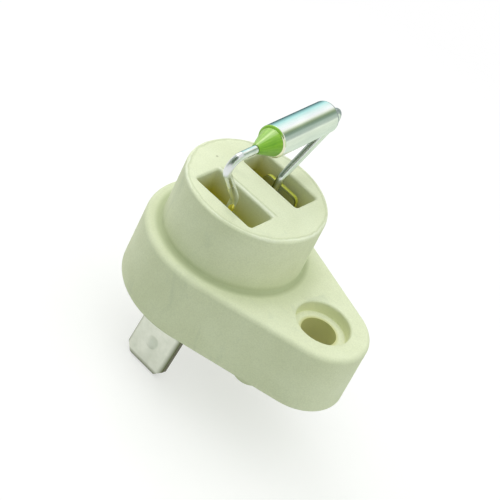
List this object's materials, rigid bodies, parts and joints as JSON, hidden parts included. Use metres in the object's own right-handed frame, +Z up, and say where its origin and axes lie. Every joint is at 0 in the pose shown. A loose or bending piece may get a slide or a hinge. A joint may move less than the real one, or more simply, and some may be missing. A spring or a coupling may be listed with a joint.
{
  "type": "fuse link",
  "caption": "Thermal fuse link: a sealed cylindrical cutoff on stiff bent leads above a ceramic base with a round boss, an ear with a recessed screw hole, and push-on blades below.",
  "frame": {"origin": "on the base's flat underside, on the axis of the round boss", "axes": "+Z up along the boss's axis, towards the cutoff; +X from the boss to the screw hole; -Y is the side of the isolated lead and the locating stud"},
  "size_m": [0.0337, 0.0238, 0.0382],
  "materials": {
    "ceramic": "matte, unglazed",
    "plated_brass": "dull nickel plate with bare brass cut edges",
    "tinned_case": "bright tin plate",
    "epoxy": "satin epoxy",
    "tinned_copper": "bright tin plate"
  },
  "bodies": {
    "root": {"ceramic_base": "ceramic", "near_terminal": "plated_brass", "far_terminal": "plated_brass", "cutoff_case": "tinned_case", "cutoff_seal": "epoxy", "isolated_lead": "tinned_copper", "case_lead": "tinned_copper"}
  },
  "joints": []
}
